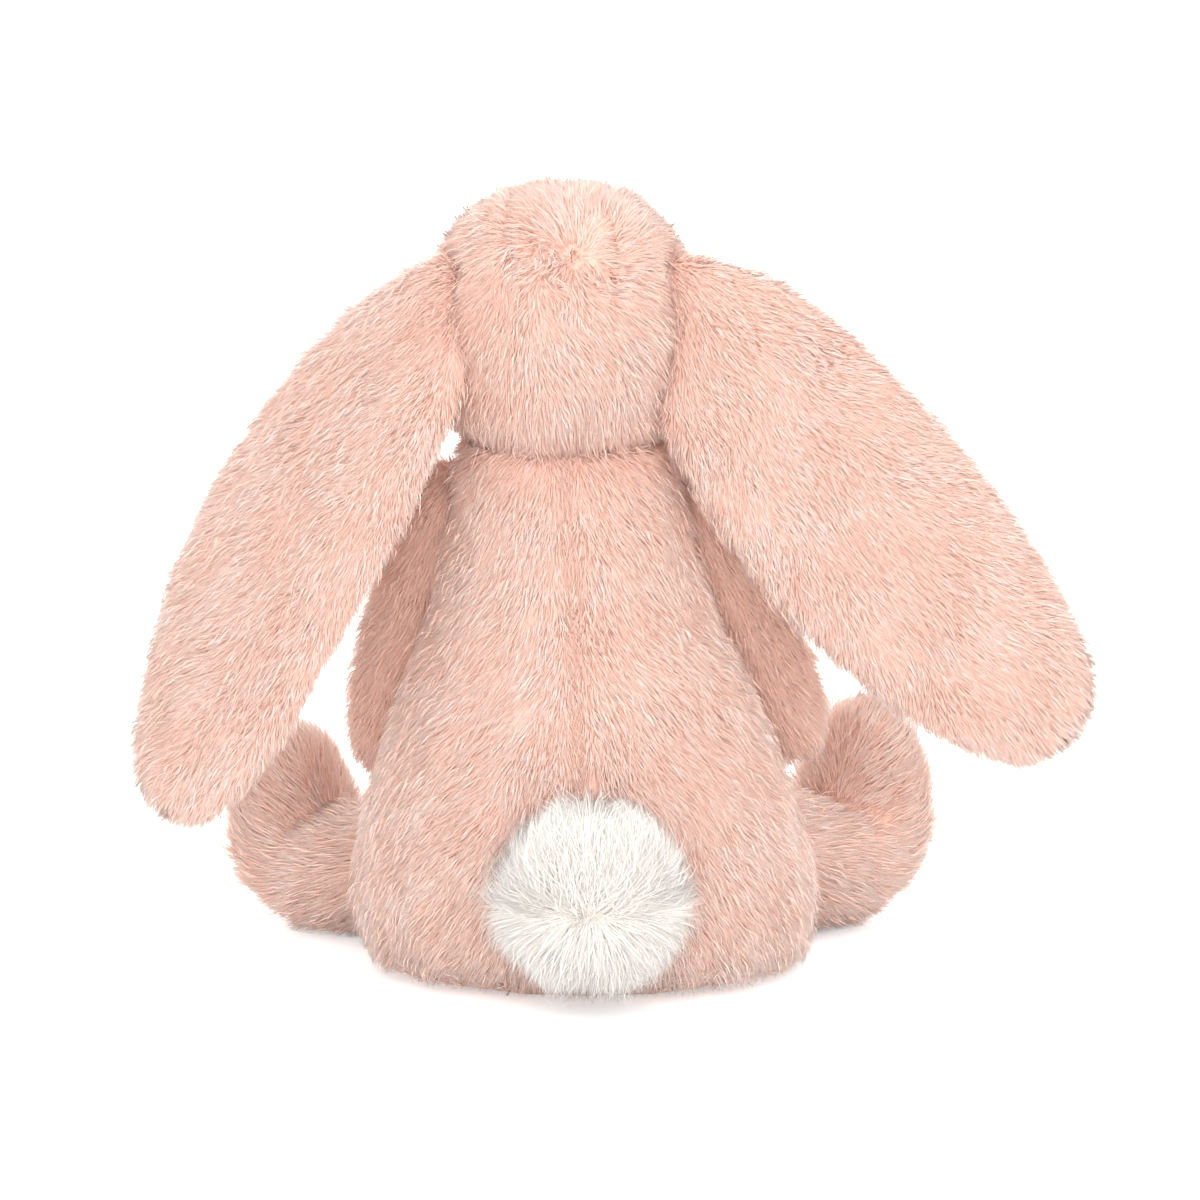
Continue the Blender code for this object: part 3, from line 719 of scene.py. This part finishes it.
def head_comb(points, facing):
    """From the crown down the back of the head, and from the muzzle back over the face."""
    away = unit(points - CROWN)
    back = away + HEAD_FALL * DOWN + HEAD_SWIRL * np.cross(facing, away)
    from_muzzle = unit(points - MUZZLE) + FACE_RISE * UP
    face = smooth_step(-points[:, 1], *FACE_EDGE)[:, None]
    return back * (1.0 - face) + from_muzzle * face


def from_crown(points):
    return np.linalg.norm(points - CROWN, axis=1)


def from_tail_gather(points):
    return points[:, 2] - TAIL_MIDDLE[2] + TAIL_GATHER_DROP


def ear_comb(side):
    """From the root to the tip, and outwards to both edges."""
    root = joint_point("ear_" + side + "_lift")
    points, _, _, _ = mesh_arrays(frame["nodes"]["ear_" + side + "_back"].data)
    away = np.linalg.norm(points - root, axis=1)
    along = unit((points[np.argmax(away)] - root)[None])[0]
    hinge = np.array(JOINTS["ear_" + side + "_lift"]["axis"])
    across = unit(np.cross(hinge, along)[None])[0]

    def comb(places, _facing):
        aside = (places - root) @ across / EAR_SPREAD_WIDTH
        return along + across * (EAR_SPREAD * np.clip(aside, -EAR_MOST_SPREAD, EAR_MOST_SPREAD))[:, None]

    return comb


def arm_comb(side):
    """Straight from the shoulder to the paw."""
    root = joint_point("arm_" + side + "_lift")
    along = unit((middle_of("arm_" + side + "_cover") - root)[None])[0]

    def comb(points, _facing):
        return np.broadcast_to(along, points.shape)

    return comb


def leg_comb(side):
    """Forward along the thigh, then up the foot and outwards."""
    root = joint_point("leg_" + side + "_lift")
    axis = np.array(JOINTS["leg_" + side + "_lift"]["axis"])
    forward = np.cross(UP, axis)

    def comb(points, _facing):
        far = smooth_step((points - root) @ forward, *FOOT_REACH)[:, None]
        return forward * (1.0 - far) + (UP + FOOT_LEAN * forward) * far + THIGH_FALL * DOWN * (1.0 - far)

    return comb


def tail_comb(points, _facing):
    """Up above the gathered middle and down below it."""
    above = np.tanh(from_tail_gather(points) / TAIL_GATHER_WIDTH)
    return UP * above[:, None] + TAIL_SPREAD * unit((points - TAIL_MIDDLE) * TAIL_DEPTH_SHARE)


def furry_nodes():
    """Each skin's node with its pile and its fill."""
    body = Pile(0.0064, 0.46, body_comb)
    back = Pile(0.0064, 0.46, body_comb, fine=1.3, seam=from_back_seam)
    head = Pile(0.0062, 0.47, head_comb, fine=1.6, parting=from_crown, stir=1.5)
    fluff = {"clump": 0.22, "wild": 0.45, "fine": 3.2, "soft": 0.65}
    tail = Pile(0.0120, 0.52, tail_comb, parting=from_tail_gather, stir=0.5, **fluff)
    found = {
        "body_back_left": (back, 0.85),
        "body_back_right": (back, 0.85),
        "body_belly": (body, 0.85),
        "body_base": (Pile(0.0050, 0.40, base_comb), 0.7),
        "head_side_left": (head, 0.9),
        "head_side_right": (head, 0.9),
        "head_gusset": (head, 0.9),
        "tail_cover": (tail, 0.6),
    }
    for side in ("left", "right"):
        ear = ear_comb(side)
        found["ear_" + side + "_back"] = Pile(0.0060, 0.48, ear, fine=1.6), 0.3
        found["ear_" + side + "_lining"] = Pile(0.0057, 0.48, ear), 0.3
        # Arms and legs get painted shade over their whole pile, the arms the most
        found["arm_" + side + "_cover"] = Pile(0.0064, 0.47, arm_comb(side), deep=0.45), 0.8
        leg = leg_comb(side)
        found["leg_" + side + "_cover"] = Pile(0.0082, 0.34, leg, wild=0.15, deep=0.10), 0.85
        found["leg_" + side + "_sole"] = Pile(0.0078, 0.34, leg, wild=0.15, deep=0.10), 0.85
    return found


def make_furry(finishes):
    """A swollen skin in place of each cover, and its pile."""
    for index, (node, (pile, fill)) in enumerate(furry_nodes().items()):
        draw = np.random.default_rng(FIRST_SEED + index)
        mesh, open_air = skin_mesh(node)
        colour = "white" if SLOT_OF[node] == "white_fluff" else "pink"
        skin = add_piece(node + "_skin", mesh, finishes[colour + "_skin"])
        plump(skin, node, open_air)
        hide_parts(node)
        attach(skin, BODY_OF[node])
        resting = [
            face.normal.z < RESTING_NORMAL and face.center.z < RESTING_HEIGHT
            for face in mesh.polygons
        ]
        grown = open_air & ~np.array(resting)
        strands = pile_mesh(node + "_pile", mesh, grown, pile, draw, crease_shade_tree(node))
        coat = add_piece(node + "_pile", strands, finishes[colour + "_pile"])
        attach(coat, BODY_OF[node])


def make_fillings(finishes):
    """Lumpy fibre in place of each smooth filling, a little smaller so that it stays inside."""
    for node, slot in SLOT_OF.items():
        if slot not in FILLING_SLOTS:
            continue
        mesh, _ = skin_mesh(node)
        points, normals, _, _ = mesh_arrays(mesh)
        dent = LEAST_DENT + DENT_DEPTH * (1.0 + wobble(points, DENT_WAVE, DENT_SEED))
        points = points - normals * np.clip(dent, 0.0, MOST_DENT)[:, None]
        pocket = np.zeros(len(points))
        for _, centre, reach, _ in sockets_of(BODY_OF[node]):
            away = np.linalg.norm(points - np.array(centre), axis=1)
            pocket = np.maximum(pocket, 1.0 - smooth_step(away, reach, reach + POCKET_EDGE))
        mesh.vertices.foreach_set("co", points.astype(np.float32).ravel())
        mesh.update()
        add_values(mesh, "pocket", pocket)
        piece = add_piece(node + "_wad", mesh, finishes[slot])
        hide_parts(node)
        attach(piece, BODY_OF[node])


def make_nose(finishes):
    made = bmesh.new()
    made.from_mesh(frame["nodes"]["nose"].data)
    bmesh.ops.remove_doubles(made, verts=made.verts, dist=SAME_POINT)
    bmesh.ops.subdivide_edges(made, edges=made.edges, cuts=2)
    bmesh.ops.triangulate(made, faces=made.faces)
    all_ways = {"use_axis_x": True, "use_axis_y": True, "use_axis_z": True}
    bmesh.ops.smooth_vert(made, verts=made.verts, factor=0.5, **all_ways)
    mesh = bpy.data.meshes.new("nose_satin")
    made.to_mesh(mesh)
    made.free()
    mesh.shade_smooth()
    piece = add_piece("nose_satin", mesh, finishes["nose"])
    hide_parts("nose")
    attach(piece, "head")


def finish_plastics(finishes):
    for side in ("left", "right"):
        for node, finish in (("eye_" + side, "eye"), ("eye_washer_" + side, "washer")):
            mesh = frame["nodes"][node].data
            mesh.materials.clear()
            mesh.materials.append(finishes[finish])


def make_floor():
    """A wide floor that glows where it is seen, so that it meets the white behind it."""
    made = bmesh.new()
    bmesh.ops.create_grid(made, x_segments=1, y_segments=1, size=FLOOR_HALF_SIZE)
    mesh = bpy.data.meshes.new("studio_floor")
    made.to_mesh(mesh)
    made.free()
    floor = bpy.data.objects.new("studio_floor", mesh)
    bpy.context.scene.collection.objects.link(floor)
    finish = Finish("studio_floor")
    seen = finish.light_path("Is Camera Ray") + finish.light_path("Is Glossy Ray")
    seen = seen + finish.light_path("Is Transmission Ray")
    glow = finish.mix(seen, (0.0, 0.0, 0.0), FLOOR_GLOW)
    finish.set(Base_Color=FLOOR_WHITE, Roughness=0.95, Emission_Color=glow, Emission_Strength=1.0)
    mesh.materials.append(finish.material)


def make_world():
    """Warm white light, and plain white where it is seen."""
    world = bpy.data.worlds.new("studio")
    bpy.context.scene.world = world
    world.use_nodes = True
    nodes = world.node_tree.nodes
    links = world.node_tree.links
    light = nodes["Background"]
    light.inputs["Color"].default_value = (*WORLD_COLOUR, 1.0)
    light.inputs["Strength"].default_value = WORLD_STRENGTH
    white = nodes.new("ShaderNodeBackground")
    white.inputs["Color"].default_value = (1.0, 1.0, 1.0, 1.0)
    white.inputs["Strength"].default_value = 1.0
    path = nodes.new("ShaderNodeLightPath")
    seen = path.outputs["Is Camera Ray"]
    for kind in ("Is Glossy Ray", "Is Transmission Ray"):
        either = nodes.new("ShaderNodeMath")
        either.operation = "MAXIMUM"
        links.new(seen, either.inputs[0])
        links.new(path.outputs[kind], either.inputs[1])
        seen = either.outputs[0]
    mix = nodes.new("ShaderNodeMixShader")
    links.new(seen, mix.inputs[0])
    links.new(light.outputs[0], mix.inputs[1])
    links.new(white.outputs[0], mix.inputs[2])
    links.new(mix.outputs[0], nodes["World Output"].inputs["Surface"])


def make_lamp(name, place, size, power):
    lamp = bpy.data.lights.new(name, "AREA")
    lamp.shape = "SQUARE"
    lamp.size = size
    lamp.energy = power
    lamp.color = LAMP_COLOUR
    obj = bpy.data.objects.new(name, lamp)
    bpy.context.scene.collection.objects.link(obj)
    obj.location = place
    obj.rotation_euler = (LOOK_AT - Vector(place)).to_track_quat("-Z", "Y").to_euler()


def make_camera():
    """Straight behind the rabbit and a little above it."""
    lens = bpy.data.cameras.new("photo_camera")
    lens.sensor_width = SENSOR
    lens.lens = SENSOR * CAMERA_DISTANCE / VIEW_ACROSS
    lens.clip_start = 0.01
    camera = bpy.data.objects.new("photo_camera", lens)
    bpy.context.scene.collection.objects.link(camera)
    rise = math.radians(CAMERA_ELEVATION)
    away = Vector((0.0, math.cos(rise), math.sin(rise)))
    camera.location = LOOK_AT + away * CAMERA_DISTANCE
    camera.rotation_euler = (-away).to_track_quat("-Z", "Y").to_euler()
    bpy.context.scene.camera = camera


def main():
    bpy.context.scene.view_settings.view_transform = "Standard"
    make_camera()
    make_world()
    make_floor()
    for name, (place, size, power) in LAMPS.items():
        make_lamp(name, place, size, power)
    finishes = {
        "pink_pile": pile_finish("pink_pile", ROOT_PINK, STREAK_PINK, TIP_PINK),
        "white_pile": pile_finish("white_pile", ROOT_WHITE, STREAK_WHITE, TIP_WHITE),
        "pink_skin": skin_finish("pink_backing", SKIN_PINK),
        "white_skin": skin_finish("white_backing", SKIN_WHITE),
        "polyester_fill": fibre_finish("polyester_fibre", (0.80, 0.80, 0.78), (0.92, 0.92, 0.90)),
        "pellet_cloth": pellet_finish(),
        "eye": eye_finish(),
        "washer": washer_finish(),
        "nose": thread_finish(),
    }
    make_furry(finishes)
    make_fillings(finishes)
    make_nose(finishes)
    finish_plastics(finishes)


main()
